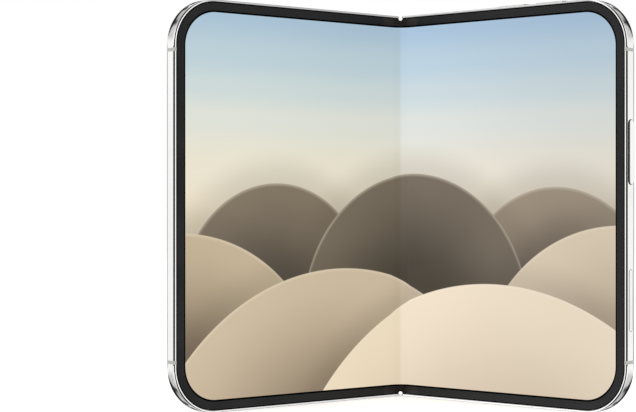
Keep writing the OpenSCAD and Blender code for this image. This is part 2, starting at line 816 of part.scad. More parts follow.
module left_battery() color([0.25, 0.25, 0.27]) on_left() box(left_cell);
module left_board()
    color([0.1, 0.28, 0.18]) on_left() difference() {
        union() {
            box(left_board_box);
            box(left_can);
        }
        stub(cover_camera_u, cover_camera_z, 0, cover_camera_foot + 0.3, half_t);
    }
module earpiece() color(black) on_left() box(earpiece_box);
module left_bezel() color(black) on_left() bezel();
module left_display() color([0.78, 0.82, 0.84]) on_left() display_panel();
module left_magnets() color([0.5, 0.5, 0.52]) on_left() magnets();

spine_cover();
hinge_block_top();
hinge_block_bottom();
hinge_pins();
centre_support();
friction_washers();
spine_screws();
fold_display_left();
fold_display_right();
fold_bezel_left();
fold_bezel_right();
idler_gears_left();
idler_gears_right();
left_frame();
left_mid_plate();
left_antenna_bands();
cover_glass();
cover_gasket();
cover_display();
cover_camera();
left_battery();
left_board();
earpiece();
left_bezel();
left_display();
left_hinge_arms();
left_arm_screws();
left_wing_plate();
left_wing_rod();
left_magnets();
right_frame();
right_mid_plate();
right_antenna_bands();
rear_glass();
rear_gasket();
camera_plateau();
camera_rings();
camera_windows();
camera_modules();
flash_window();
right_battery();
main_board();
usb_port();
bottom_speaker();
haptic_motor();
right_bezel();
right_display();
right_hinge_arms();
right_arm_screws();
right_wing_plate();
right_wing_rod();
right_magnets();
power_button();
camera_control();
volume_up_button();
volume_down_button();
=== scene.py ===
import json
import math

import bmesh
import bpy
from mathutils import Matrix, Vector
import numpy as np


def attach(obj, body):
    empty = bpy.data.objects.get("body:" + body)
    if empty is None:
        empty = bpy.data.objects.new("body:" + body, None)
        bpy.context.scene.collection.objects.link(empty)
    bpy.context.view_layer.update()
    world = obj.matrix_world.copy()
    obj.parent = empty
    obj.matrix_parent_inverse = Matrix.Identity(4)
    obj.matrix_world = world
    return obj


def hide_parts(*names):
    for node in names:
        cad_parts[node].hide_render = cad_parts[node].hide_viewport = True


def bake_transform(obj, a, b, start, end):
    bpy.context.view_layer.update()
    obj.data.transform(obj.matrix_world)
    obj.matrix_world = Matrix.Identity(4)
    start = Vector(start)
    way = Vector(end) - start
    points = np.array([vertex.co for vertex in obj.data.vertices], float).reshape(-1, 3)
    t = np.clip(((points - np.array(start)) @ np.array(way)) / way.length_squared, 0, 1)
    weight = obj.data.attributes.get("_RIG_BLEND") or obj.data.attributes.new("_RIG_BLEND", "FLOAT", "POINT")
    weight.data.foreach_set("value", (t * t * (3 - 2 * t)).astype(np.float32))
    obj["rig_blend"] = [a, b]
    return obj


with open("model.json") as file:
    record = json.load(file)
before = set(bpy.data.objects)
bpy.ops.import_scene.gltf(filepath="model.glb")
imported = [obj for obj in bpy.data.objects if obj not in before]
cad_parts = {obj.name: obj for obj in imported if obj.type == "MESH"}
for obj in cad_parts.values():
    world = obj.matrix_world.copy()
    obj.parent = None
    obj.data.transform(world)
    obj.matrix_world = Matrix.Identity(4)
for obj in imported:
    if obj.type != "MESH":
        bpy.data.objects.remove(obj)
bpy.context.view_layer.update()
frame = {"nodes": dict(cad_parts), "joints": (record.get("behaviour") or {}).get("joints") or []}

nodes = frame["nodes"]
mm = 0.001
print("frame loaded,", len(nodes), "nodes")

phone = {  # driving sizes in millimetres, as the solids have them
    "halfWidth": 84.1, "height": 121.7, "thickness": 4.8, "corner": 14.0,
    "lip": 0.75, "bezel": 2.95,
    "displayInset": 0.9, "displayDepth": 0.2, "displayThick": 0.35,
    "angle": 38.0, "pinAcross": 2.6, "pinDepth": 2.4,
    "valley": 5.0, "foldZone": 7.0,     # radius of the bend as it stands, and where the bend zone ends
}
pinAt = next(joint["pos_m"] for joint in frame["joints"] if joint["name"] == "fold_right")
shiftBack = pinAt[1] / mm - phone["pinDepth"]     # how far the model is set back over its origin
turn = math.radians(phone["angle"])               # each half stands turned this far


# The camera stands where the photograph was taken from

cameraSet = {
    "place": (0.0, -490.08, 60.85), "lens": 90.6, "sensor": 36.0, "shiftAcross": -0.1297,
    "clip": (0.01, 50.0),
}


def makeCamera():
    data = bpy.data.cameras.new("camera")
    data.lens = cameraSet["lens"]
    data.sensor_fit = "HORIZONTAL"
    data.sensor_width = cameraSet["sensor"]
    data.shift_x = cameraSet["shiftAcross"]
    data.clip_start, data.clip_end = cameraSet["clip"]
    camera = bpy.data.objects.new("camera", data)
    camera.location = Vector(cameraSet["place"]) * mm
    camera.rotation_euler = (math.radians(90), 0, 0)
    bpy.context.scene.collection.objects.link(camera)
    bpy.context.scene.camera = camera


makeCamera()


def rgb(red, green, blue):   # a colour as a picture editor shows it, made linear
    def linear(value):
        value /= 255
        return value / 12.92 if value <= 0.04045 else ((value + 0.055) / 1.055) ** 2.4
    return linear(red), linear(green), linear(blue), 1.0


def newMaterial(name, **shader):
    material = bpy.data.materials.new(name)
    material.use_nodes = True
    tree = material.node_tree
    bsdf = tree.nodes["Principled BSDF"]
    for key, value in shader.items():
        bsdf.inputs[key.replace("_", " ")].default_value = value
    return material, tree, bsdf


def feed(tree, socket, value):
    if isinstance(value, bpy.types.NodeSocket):
        tree.links.new(value, socket)
    elif value is not None:
        socket.default_value = value


def maths(tree, operation, first, second=None):
    node = tree.nodes.new("ShaderNodeMath")
    node.operation = operation
    feed(tree, node.inputs[0], first)
    feed(tree, node.inputs[1], second)
    return node.outputs[0]


def fade(tree, value, low, high, fromLow=0.0, fromHigh=1.0, smooth=True):
    node = tree.nodes.new("ShaderNodeMapRange")
    node.interpolation_type = "SMOOTHSTEP" if smooth else "LINEAR"
    for socket, number in zip(node.inputs[:5], (value, fromLow, fromHigh, low, high)):
        feed(tree, socket, number)
    return node.outputs[0]


def blendColour(tree, share, first, second, kind="MIX"):
    node = tree.nodes.new("ShaderNodeMix")
    node.data_type = "RGBA"
    node.blend_type = kind
    feed(tree, node.inputs[0], share)
    feed(tree, node.inputs[6], first)
    feed(tree, node.inputs[7], second)
    return node.outputs[2]


def objectPoint(tree, scale=(1, 1, 1)):
    place = tree.nodes.new("ShaderNodeTexCoord").outputs["Object"]
    mapping = tree.nodes.new("ShaderNodeMapping")
    mapping.inputs["Scale"].default_value = scale
    tree.links.new(place, mapping.inputs["Vector"])
    return mapping.outputs[0]


def noise(tree, point, scale, detail=3.0):
    node = tree.nodes.new("ShaderNodeTexNoise")
    feed(tree, node.inputs["Vector"], point)
    node.inputs["Scale"].default_value = scale
    node.inputs["Detail"].default_value = detail
    return node.outputs["Fac"]


def bump(tree, bsdf, height, strength, distance):
    node = tree.nodes.new("ShaderNodeBump")
    node.inputs["Strength"].default_value = strength
    node.inputs["Distance"].default_value = distance
    tree.links.new(height, node.inputs["Height"])
    tree.links.new(node.outputs[0], bsdf.inputs["Normal"])


def finish(name, colour, roughness, spread=0.04, tint=0.03, grain=400.0, relief=0.0, **shader):
    # a surface whose roughness and colour wander a little, with an optional fine relief
    material, tree, bsdf = newMaterial(name, **shader)
    point = objectPoint(tree)
    wander = noise(tree, point, 60.0)
    low = max(0.0, roughness - spread)
    tree.links.new(fade(tree, wander, low, roughness + spread, 0.3, 0.7), bsdf.inputs["Roughness"])
    darker = tuple(channel * (1 - 2 * tint) for channel in colour[:3]) + (1.0,)
    tree.links.new(blendColour(tree, fade(tree, wander, 0, 1, 0.25, 0.75), darker, colour),
                   bsdf.inputs["Base Color"])
    if relief:
        bump(tree, bsdf, noise(tree, point, grain * 10, 2.0), 0.5, relief)
    return material


def halfPlace(tree):
    # where on its own half a point lies: how far across, how far behind the middle, and how high
    axes = tree.nodes.new("ShaderNodeSeparateXYZ")
    tree.links.new(tree.nodes.new("ShaderNodeTexCoord").outputs["Object"], axes.inputs[0])
    outwards = maths(tree, "SUBTRACT", maths(tree, "ABSOLUTE", axes.outputs[0]),
                     phone["pinAcross"] * mm)
    backwards = maths(tree, "SUBTRACT", axes.outputs[1], pinAt[1])
    along = maths(tree, "SUBTRACT", maths(tree, "MULTIPLY", outwards, math.cos(turn)),
                  maths(tree, "MULTIPLY", backwards, math.sin(turn)))
    depth = maths(tree, "ADD", maths(tree, "MULTIPLY", outwards, math.sin(turn)),
                  maths(tree, "MULTIPLY", backwards, math.cos(turn)))
    return maths(tree, "ADD", along, phone["pinAcross"] * mm), depth, axes.outputs[2]


def pastCorner(tree, across, up, middle, reach):
    # how far a point lies past a box of half sizes reach (mm) round its middle (mm), in metres
    off = []
    for value, centre, half in zip((across, up), middle, reach):
        away = maths(tree, "ABSOLUTE", maths(tree, "SUBTRACT", value, centre * mm))
        off.append(maths(tree, "MAXIMUM", maths(tree, "SUBTRACT", away, half * mm), 0.0))
    squares = [maths(tree, "MULTIPLY", side, side) for side in off]
    return maths(tree, "SQRT", maths(tree, "ADD", *squares))


# how far before and behind its middle the band stays flat (mm), and how fast it then falls (per m)
crown = {"front": 1.15, "frontPull": 78.0, "rear": 0.0, "rearPull": 33.0}


def bandCrown(tree, depth):    # height of the band's soft shoulders
    rear = maths(tree, "MAXIMUM", maths(tree, "SUBTRACT", depth, crown["rear"] * mm), 0.0)
    front = maths(tree, "MAXIMUM", maths(tree, "SUBTRACT", -crown["front"] * mm, depth), 0.0)
    falls = [maths(tree, "MULTIPLY", maths(tree, "MULTIPLY", past, past), -pull)
             for past, pull in ((rear, crown["rearPull"]), (front, crown["frontPull"]))]
    return maths(tree, "ADD", *falls)


# the dark joint along the inside of the front lip, with painted shade for the shadow gap between lip and
# bezel: width, softness and how far it runs down (mm)
seamShadow = {"wide": 0.16, "soft": 0.02, "down": (0.04, 0.1), "colour": (9, 9, 10)}


def lipSeamShadow(tree, across, depth, up):
    corner = phone["corner"]
    past = pastCorner(tree, across, up, (0, phone["height"] / 2),
                      (phone["halfWidth"] - corner, phone["height"] / 2 - corner))
    start = corner - phone["lip"] + seamShadow["wide"]
    inside = fade(tree, past, 1.0, 0.0, (start - seamShadow["soft"]) * mm, (start + seamShadow["soft"]) * mm)
    front = -phone["thickness"] / 2
    low, high = [(front + drop) * mm for drop in seamShadow["down"]]
    return maths(tree, "MULTIPLY", inside, fade(tree, depth, 1.0, 0.0, low, high))


steel = {"dull": (240, 240, 239), "bright": (248, 248, 247), "roughness": (0.04, 0.09)}


def polishedSteel(name, crowned=False):
    # mirror polish with faint clouds and hairlines in its gloss
    material, tree, bsdf = newMaterial(name, Metallic=1.0)
    hairs = noise(tree, objectPoint(tree, (1, 1, 0.04)), 5000.0, 2.0)
    cloud = noise(tree, objectPoint(tree), 45.0)
    both = maths(tree, "ADD", maths(tree, "MULTIPLY", hairs, 0.3),
                 maths(tree, "MULTIPLY", cloud, 0.7))
    tree.links.new(fade(tree, both, *steel["roughness"], 0.3, 0.7), bsdf.inputs["Roughness"])
    colour = blendColour(tree, fade(tree, cloud, 0, 1, 0.3, 0.7),
                         rgb(*steel["dull"]), rgb(*steel["bright"]))
    if crowned:
        across, depth, up = halfPlace(tree)
        # paints the dark joint onto the inside of the lip, darkened further as painted shade for the shadow
        # gap
        colour = blendColour(tree, lipSeamShadow(tree, across, depth, up), colour, rgb(*seamShadow["colour"]))
        bump(tree, bsdf, bandCrown(tree, depth), 1.0, 1.0)
    tree.links.new(colour, bsdf.inputs["Base Color"])
    return material


# The picture on the display: a soft sky over large overlapping discs.
# across runs from -1 to 1 over both halves, up from 0 at the bottom edge to 1 at the top.
picture = {
    "halfSpan": 80.5, "bottom": 3.6, "top": 118.1, "corner": 10.4, "border": 0.2, "edge": 0.03,
    "sky": [(0.46, (236, 224, 203)), (0.61, (232, 227, 213)), (0.73, (221, 225, 221)),
            (0.81, (203, 217, 222)), (0.89, (187, 208, 222)), (1.0, (168, 194, 218))],
    # painted shade on the left half and painted sheen on the right, strongest near the fold
    "leftPaintedShade": (1.0, 0.99, 0.93, 1.0), "foldShade": 0.94, "foldShine": 1.03, "rightShine": 0.90,
    "foldSoft": 0.012, "shadeStart": -0.9,
    "wave": 0.06, "discEdge": 0.0012,
    "crest": {"share": 0.25, "deep": 0.010, "colour": (250, 240, 222)},
    "shadow": {"share": 0.22, "wide": 0.10, "colour": (70, 62, 54)},
    # each disc as across, up and radius, its colour at the crest and below it, and how deep that fades
    "discs": [
        ((-0.60, 0.27, 0.29), (128, 116, 101), (84, 77, 67), 0.26),
        ((0.74, 0.25, 0.30), (158, 144, 126), (104, 94, 82), 0.26),
        ((0.07, 0.20, 0.39), (118, 108, 95), (74, 69, 61), 0.30),
        ((-1.02, -0.02, 0.45), (196, 179, 154), (120, 104, 87), 0.34),
        ((1.02, 0.0, 0.45), (221, 205, 181), (176, 159, 136), 0.34),
        ((-0.30, -0.31, 0.64), (206, 189, 166), (142, 125, 105), 0.42),
        ((0.45, -0.46, 0.75), (240, 224, 201), (212, 195, 172), 0.40),
    ],
}


def pictureSky(tree, up):
    ramp = tree.nodes.new("ShaderNodeValToRGB")
    ramp.color_ramp.interpolation = "EASE"
    stops = ramp.color_ramp.elements
    for stop, (height, colour) in enumerate(picture["sky"]):
        point = stops[stop] if stop < 2 else stops.new(height)
        point.position = height
        point.color = rgb(*colour)
    tree.links.new(up, ramp.inputs[0])
    return ramp.outputs[0]


def pictureDisc(tree, colour, across, up, soft, place, crest, foot, depth):
    # lays one disc over the colour, lit along its upper edge and darker below it
    aspect = picture["halfSpan"] / (picture["top"] - picture["bottom"])
    sideways = maths(tree, "MULTIPLY", maths(tree, "SUBTRACT", across, place[0]), aspect)
    upwards = maths(tree, "SUBTRACT", up, place[1])
    away = maths(tree, "SQRT", maths(tree, "ADD", maths(tree, "MULTIPLY", sideways, sideways),
                                     maths(tree, "MULTIPLY", upwards, upwards)))
    below = maths(tree, "SUBTRACT", place[2], away)
    wander = maths(tree, "MULTIPLY", maths(tree, "SUBTRACT", soft, 0.5), picture["wave"])
    wavy = maths(tree, "ADD", below, wander)
    body = blendColour(tree, fade(tree, wavy, 0, 1, 0.0, depth), rgb(*crest), rgb(*foot))
    glow, shadow, edge = picture["crest"], picture["shadow"], picture["discEdge"]
    body = blendColour(tree, fade(tree, below, glow["share"], 0.0, 0.0, glow["deep"]),
                       body, rgb(*glow["colour"]))
    cover = fade(tree, below, 0, 1, -edge, edge, smooth=False)
    # the disc darkens what lies behind its edge
    shade = fade(tree, below, 0.0, shadow["share"], -shadow["wide"], 0.0)
    colour = blendColour(tree, shade, colour, rgb(*shadow["colour"]))
    return blendColour(tree, cover, colour, body)


def pictureLit(tree, x, z):     # 1 inside the lit area, whose corners are round
    corner, edge = picture["corner"], picture["edge"]
    inset = corner + picture["border"]
    past = pastCorner(tree, x, z, (0, (picture["top"] + picture["bottom"]) / 2),
                      (picture["halfSpan"] - inset, (picture["top"] - picture["bottom"]) / 2 - inset))
    return fade(tree, past, 1.0, 0.0, (corner - edge) * mm, (corner + edge) * mm)


def displayPicture():
    material, tree, bsdf = newMaterial("displayPicture", Roughness=0.16, IOR=1.45,
                                       Specular_IOR_Level=0.18)
    bsdf.inputs["Base Color"].default_value = rgb(4, 4, 5)
    place = tree.nodes.new("ShaderNodeUVMap")
    place.uv_map = "flat"
    axes = tree.nodes.new("ShaderNodeSeparateXYZ")
    tree.links.new(place.outputs[0], axes.inputs[0])
    x, z = axes.outputs[0], axes.outputs[1]
    tall = picture["top"] - picture["bottom"]
    across = maths(tree, "DIVIDE", x, picture["halfSpan"] * mm)
    up = maths(tree, "DIVIDE", maths(tree, "SUBTRACT", z, picture["bottom"] * mm), tall * mm)
    colour = pictureSky(tree, up)
    soft = noise(tree, place.outputs[0], 30.0)
    for disc, crest, foot, depth in picture["discs"]:
        colour = pictureDisc(tree, colour, across, up, soft, disc, crest, foot, depth)

    # painted shade and sheen: the left half is tinted warmer and dimmed towards the fold, the right half
    # brightened near the fold and dimmed towards its edge, standing in for reflections on the glass
    right = fade(tree, across, 0.0, 1.0, -picture["foldSoft"], picture["foldSoft"])
    tint = blendColour(tree, right, picture["leftPaintedShade"], (1, 1, 1, 1))
    colour = blendColour(tree, 1.0, colour, tint, "MULTIPLY")
    leftShade = fade(tree, across, 1.0, picture["foldShade"], picture["shadeStart"], 0.0)
    rightShine = fade(tree, across, picture["foldShine"], picture["rightShine"], 0.0, 1.0)
    left = maths(tree, "SUBTRACT", 1.0, right)
    level = maths(tree, "ADD", maths(tree, "MULTIPLY", leftShade, left),
                  maths(tree, "MULTIPLY", rightShine, right))
    colour = blendColour(tree, pictureLit(tree, x, z), (0, 0, 0, 1), colour)
    tree.links.new(colour, bsdf.inputs["Emission Color"])
    tree.links.new(level, bsdf.inputs["Emission Strength"])
    return material


# The cover display is off: its lit area only shows as a slightly paler black under the glass
coverArea = {
    "side": 2.4, "fold": 9.4, "ends": 2.4, "corner": 11.4, "edge": 0.05,
    "lit": (15, 15, 18), "border": (5, 5, 6),
}


def coverGlass():
    material, tree, bsdf = newMaterial("coverGlass", Coat_Weight=0.3, Coat_Roughness=0.03)
    across, _, up = halfPlace(tree)
    corner, edge = coverArea["corner"], coverArea["edge"]
    start, end = coverArea["fold"], phone["halfWidth"] - coverArea["side"]
    past = pastCorner(tree, across, up, ((start + end) / 2, phone["height"] / 2),
                      ((end - start) / 2 - corner, phone["height"] / 2 - coverArea["ends"] - corner))
    lit = fade(tree, past, 1.0, 0.0, (corner - edge) * mm, (corner + edge) * mm)
    tree.links.new(blendColour(tree, lit, rgb(*coverArea["border"]), rgb(*coverArea["lit"])),
                   bsdf.inputs["Base Color"])
    cloud = noise(tree, objectPoint(tree), 60.0)
    tree.links.new(fade(tree, cloud, 0.04, 0.075, 0.3, 0.7), bsdf.inputs["Roughness"])
    return material


def reachOf(tree):      # a piece's own "reach" map: 0 at the middle of a round piece, 1 at its rim
    place = tree.nodes.new("ShaderNodeUVMap")
    place.uv_map = "reach"
    axes = tree.nodes.new("ShaderNodeSeparateXYZ")
    tree.links.new(place.outputs[0], axes.inputs[0])
    return axes.outputs[0]


lensColours = {"middle": (92, 40, 74), "ring": (24, 74, 60), "rim": (8, 8, 12), "cloud": (30, 26, 60)}


def lensCoat():         # anti-reflex coat: violet in the middle, green further out, black at the rim
    material, tree, bsdf = newMaterial("lensCoat", Metallic=0.55, Roughness=0.05,
                                       Coat_Weight=0.8, Coat_Roughness=0.02)
    middle, ring, rim, clouded = [rgb(*colour) for colour in lensColours.values()]
    reach = reachOf(tree)
    colour = blendColour(tree, fade(tree, reach, 0, 1, 0.10, 0.42), middle, ring)
    colour = blendColour(tree, fade(tree, reach, 0, 1, 0.45, 0.85), colour, rim)
    cloud = noise(tree, objectPoint(tree), 900.0, 2.0)
    tree.links.new(blendColour(tree, fade(tree, cloud, 0, 0.25, 0.3, 0.7), colour, clouded),
                   bsdf.inputs["Base Color"])
    return material


flashColours = {"emitter": (238, 214, 138), "milk": (240, 235, 220), "speck": (214, 190, 120)}


def flashGlow():        # milky lens over a yellow emitter
    material, tree, bsdf = newMaterial("flashLens", Roughness=0.22, Coat_Weight=0.4,
                                       Coat_Roughness=0.05)
    emitter, milk, specked = [rgb(*colour) for colour in flashColours.values()]
    colour = blendColour(tree, fade(tree, reachOf(tree), 0, 1, 0.25, 0.75), emitter, milk)
    speck = noise(tree, objectPoint(tree), 3000.0, 2.0)
    tree.links.new(blendColour(tree, fade(tree, speck, 0, 0.12, 0.4, 0.7), colour, specked),
                   bsdf.inputs["Base Color"])
    return material


# black film, a little paler where it bends: fully up to bendHalf from the fold, not at all past bendEnd
bezelFilm = {"rigid": (10, 10, 11), "bend": (40, 36, 34), "bendHalf": 4.2, "bendEnd": 6.4}


def bezelPolymer():
    material, tree, bsdf = newMaterial("bezelPolymer", Specular_IOR_Level=0.44)
    axes = tree.nodes.new("ShaderNodeSeparateXYZ")
    point = objectPoint(tree)
    tree.links.new(point, axes.inputs[0])
    bend = fade(tree, maths(tree, "ABSOLUTE", axes.outputs[0]), 1.0, 0.0,
                bezelFilm["bendHalf"] * mm, bezelFilm["bendEnd"] * mm)
    tree.links.new(blendColour(tree, bend, rgb(*bezelFilm["rigid"]), rgb(*bezelFilm["bend"])),
                   bsdf.inputs["Base Color"])
    cloud = noise(tree, point, 60.0)
    tree.links.new(fade(tree, cloud, 0.26, 0.38, 0.3, 0.7), bsdf.inputs["Roughness"])
    return material


threads = {"pitch": 0.16, "relief": 2e-5, "gap": (12, 12, 13), "wire": (54, 54, 56)}


def wovenMesh():        # fine dark gauze behind the sound holes
    material, tree, bsdf = newMaterial("wovenMesh", Roughness=0.6)
    axes = tree.nodes.new("ShaderNodeSeparateXYZ")
    tree.links.new(objectPoint(tree), axes.inputs[0])
    x, y, z = axes.outputs
    count = 2 * math.pi / (threads["pitch"] * mm)
    along = maths(tree, "ADD", x, y)
    other = maths(tree, "ADD", z, maths(tree, "SUBTRACT", x, y))
    first = maths(tree, "SINE", maths(tree, "MULTIPLY", along, count))
    second = maths(tree, "SINE", maths(tree, "MULTIPLY", other, count))
    weave = maths(tree, "MULTIPLY", first, second)
    tree.links.new(blendColour(tree, fade(tree, weave, 0, 1, -0.6, 0.6),
                               rgb(*threads["gap"]), rgb(*threads["wire"])),
                   bsdf.inputs["Base Color"])
    bump(tree, bsdf, weave, 0.6, threads["relief"])
    return material


finishes = {
    "steel": polishedSteel("polishedSteel"), "band": polishedSteel("crownedSteel", True),
    "picture": displayPicture(),
    "bezel": bezelPolymer(),
    "rearGlass": finish("frostedGlass", rgb(241, 240, 237), 0.36, 0.02, 0.006, 500.0, 3e-6),
    "plateau": finish("satinGlass", rgb(240, 239, 236), 0.30, 0.015, 0.006, 500.0, 2e-6),
    "bezelSlope": finish("bezelSlope", rgb(2, 2, 3), 0.7, 0.05, Specular_IOR_Level=0.0),
    "gasket": finish("gasketRubber", rgb(16, 16, 17), 0.55, 0.08, 0.05, 300.0, 4e-6),
    "antenna": finish("antennaResin", rgb(196, 196, 193), 0.45, 0.06, 0.02, 500.0, 4e-6),
    "hinge": finish("hingeSteel", rgb(150, 150, 153), 0.34, 0.08, 0.06, 300.0, 4e-6, Metallic=1.0),
    "brass": finish("washerBrass", rgb(205, 176, 110), 0.28, 0.08, 0.05, 300.0, 3e-6, Metallic=1.0),
    "aluminium": finish("millAluminium", rgb(170, 172, 175), 0.42, 0.08, 0.05, 300.0, 5e-6,
                        Metallic=1.0),
    "coverGlass": coverGlass(),
    "coverPanel": finish("coverPanel", rgb(14, 14, 17), 0.2, 0.04),
    "module": finish("blackResin", rgb(24, 24, 25), 0.5, 0.08, 0.05, 300.0, 6e-6),
    "battery": finish("batteryWrap", rgb(62, 63, 66), 0.55, 0.08, 0.05, 120.0, 2e-5),
    "board": finish("boardLacquer", rgb(24, 62, 44), 0.38, 0.08, 0.10, 90.0, 2e-5),
    "magnet": finish("nickelPlate", rgb(165, 163, 158), 0.25, 0.06, 0.03, Metallic=1.0),
    "flash": finish("flashDiffuser", rgb(243, 238, 222), 0.3, 0.05, 0.02, 250.0, 2e-5),
    "lens": finish("lensGlass", rgb(6, 6, 8), 0.05, 0.02, Specular_IOR_Level=0.22, Coat_Weight=0.1),
    "port": finish("portShell", rgb(176, 176, 178), 0.3, 0.06, 0.04, Metallic=1.0),
    "baffle": finish("lensBaffle", rgb(9, 9, 10), 0.22, 0.05, 0.05, 300.0, Specular_IOR_Level=0.3),
    "lensCoat": lensCoat(), "flashLens": flashGlow(), "mesh": wovenMesh(),
    "contact": finish("goldContact", rgb(212, 176, 98), 0.24, 0.06, 0.04, 300.0, 1e-6,
                      Metallic=1.0),
}

finishOfNode = {
    "band": ["left_frame", "right_frame"],
    "steel": ["camera_rings", "power_button", "camera_control", "volume_up_button",
              "volume_down_button", "spine_cover"],
    "rearGlass": ["rear_glass"], "plateau": ["camera_plateau"],
    "antenna": ["left_antenna_bands", "right_antenna_bands"],
    "hinge": ["hinge_block_top", "hinge_block_bottom", "hinge_pins", "left_hinge_arms",
              "right_hinge_arms", "left_arm_screws", "right_arm_screws", "spine_screws",
              "centre_support", "left_wing_rod", "right_wing_rod", "left_wing_plate",
              "right_wing_plate"],
    "brass": ["friction_washers", "idler_gears_left", "idler_gears_right"],
    "aluminium": ["left_mid_plate", "right_mid_plate"],
    "coverGlass": ["cover_glass"], "coverPanel": ["cover_display"],
    "gasket": ["rear_gasket", "cover_gasket"],
    "module": ["bottom_speaker", "earpiece", "haptic_motor", "camera_modules"],
    "battery": ["left_battery", "right_battery"], "board": ["left_board", "main_board"],
    "magnet": ["left_magnets", "right_magnets"], "flash": ["flash_window"],
    "lens": ["camera_windows", "cover_camera"], "port": ["usb_port"],
}


# Shading is smooth, except over edges sharper than this angle

smoothSet = {"weld": 1e-6, "angle": 32.0, "weight": 60}


def smoothGroup():
    group = bpy.data.node_groups.new("smoothFaces", "GeometryNodeTree")
    group.interface.new_socket("Geometry", in_out="INPUT", socket_type="NodeSocketGeometry")
    group.interface.new_socket("Geometry", in_out="OUTPUT", socket_type="NodeSocketGeometry")
    start = group.nodes.new("NodeGroupInput")
    weld = group.nodes.new("GeometryNodeMergeByDistance")
    weld.inputs["Distance"].default_value = smoothSet["weld"]
    faces = group.nodes.new("GeometryNodeSetShadeSmooth")
    faces.domain = "FACE"
    angle = group.nodes.new("GeometryNodeInputMeshEdgeAngle")
    sharp = group.nodes.new("FunctionNodeCompare")
    sharp.data_type = "FLOAT"
    sharp.operation = "GREATER_THAN"
    sharp.inputs["B"].default_value = math.radians(smoothSet["angle"])
    edges = group.nodes.new("GeometryNodeSetShadeSmooth")
    edges.domain = "EDGE"
    edges.inputs["Shade Smooth"].default_value = False
    end = group.nodes.new("NodeGroupOutput")
    link = group.links.new
    link(start.outputs[0], weld.inputs[0])
    link(weld.outputs[0], faces.inputs[0])
    link(faces.outputs[0], edges.inputs[0])
    link(angle.outputs["Unsigned Angle"], sharp.inputs["A"])
    link(sharp.outputs[0], edges.inputs["Selection"])
    link(edges.outputs[0], end.inputs[0])
    return group


smoothFaces = smoothGroup()


def shadeSmooth(piece):
    modifier = piece.modifiers.new("smooth", "NODES")
    modifier.node_group = smoothFaces
    weighted = piece.modifiers.new("weighted", "WEIGHTED_NORMAL")
    weighted.keep_sharp = True
    weighted.weight = smoothSet["weight"]


def dressNodes():
    for key, names in finishOfNode.items():
        for name in names:
            node = nodes[name]
            node.data.materials.clear()
            node.data.materials.append(finishes[key])
            shadeSmooth(node)


dressNodes()
print("nodes dressed")


def makePiece(name, bm, material, body=None):
    mesh = bpy.data.meshes.new(name)
    bm.to_mesh(mesh)
    bm.free()
    mesh.materials.append(finishes[material])
    piece = bpy.data.objects.new(name, mesh)
    bpy.context.scene.collection.objects.link(piece)
    shadeSmooth(piece)
    if body:
        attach(piece, body)
    return piece


surfaceAhead = phone["pinDepth"] - phone["displayDepth"]
# where the display's two planes meet, and the centre of the valley between them
apexU = phone["pinAcross"] - (phone["pinAcross"] - surfaceAhead * math.sin(turn)) / math.cos(turn)
apexY = (phone["pinDepth"] - (apexU - phone["pinAcross"]) * math.sin(turn)
         - surfaceAhead * math.cos(turn))
valleyY = apexY - phone["valley"] / math.cos(turn)
# how far across the flat half the valley reaches
valleyEnd = phone["pinAcross"] + (phone["valley"] * math.sin(turn) - phone["pinAcross"]
                                  + surfaceAhead * math.sin(turn)) / math.cos(turn)


def standing(u, y, z, side):     # a point of a flat half, in millimetres, as the phone stands
    if u < valleyEnd:
        angle = turn * u / valleyEnd
        radius = phone["valley"] + y - phone["displayDepth"]
        x = radius * math.sin(angle)
        depth = valleyY + radius * math.cos(angle)
    else:
        along = u - phone["pinAcross"]
        behind = y - phone["pinDepth"]
        x = phone["pinAcross"] + along * math.cos(turn) + behind * math.sin(turn)
        depth = phone["pinDepth"] - along * math.sin(turn) + behind * math.cos(turn)
    return Vector((side * x, depth + shiftBack, z)) * mm


def layOver(bm, side):
    for vert in bm.verts:
        vert.co = standing(*vert.co, side)
    bmesh.ops.recalc_face_normals(bm, faces=bm.faces)


def keepFlatPlace(bm, side):     # the flat place of each point, as a UV map in metres
    layer = bm.loops.layers.uv.new("flat")
    for face in bm.faces:
        for loop in face.loops:
            loop[layer].uv = (side * loop.vert.co.x * mm, loop.vert.co.z * mm)


# the nick in the bezel at each end of the fold, and how straight its sides run
notchSet = {"depth": 0.80, "half": 1.25, "floor": 0.30, "straight": 0.6, "steps": 7}
# where the sheets are cut across so that they can bend: closely in the valley, wider past its end
bendSet = {"pitch": 0.6, "past": [4.93, 5.6, 6.3, 7.0, 8.0]}
notchCuts = [notchSet["half"] * (step + 1) / notchSet["steps"] for step in range(notchSet["steps"])]
foldCuts = notchCuts + [bendSet["pitch"] * step for step in range(3, 9)] + bendSet["past"]


def isVert(item):
    return isinstance(item, bmesh.types.BMVert)


def isEdge(item):
    return isinstance(item, bmesh.types.BMEdge)


def roundPlate(inset, segments=24):
    # a flat sheet in u and z whose two outer corners are round
    bm = bmesh.new()
    bmesh.ops.create_grid(bm, x_segments=1, y_segments=1, size=0.5)
    wide = phone["halfWidth"] - inset
    tall = phone["height"] - 2 * inset
    bmesh.ops.scale(bm, vec=(wide, tall, 1), verts=bm.verts)
    upright = Matrix.Rotation(math.radians(90), 3, "X")
    bmesh.ops.rotate(bm, verts=bm.verts, cent=(0, 0, 0), matrix=upright)
    bmesh.ops.translate(bm, verts=bm.verts, vec=(wide / 2, 0, phone["height"] / 2))
    corners = [v for v in bm.verts if v.co.x > wide / 2]
    bmesh.ops.bevel(bm, geom=corners, affect="VERTICES", offset=phone["corner"] - inset,
                    offset_type="OFFSET", segments=segments, profile=0.5, material=-1)
    return bm


def blendOverFold(piece, side, body):     # follows the spine at the fold and its half past the zone
    middle = phone["height"] / 2
    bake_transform(piece, "spine", body, start=standing(0, 0, middle, side),
             end=standing(phone["foldZone"], 0, middle, side))


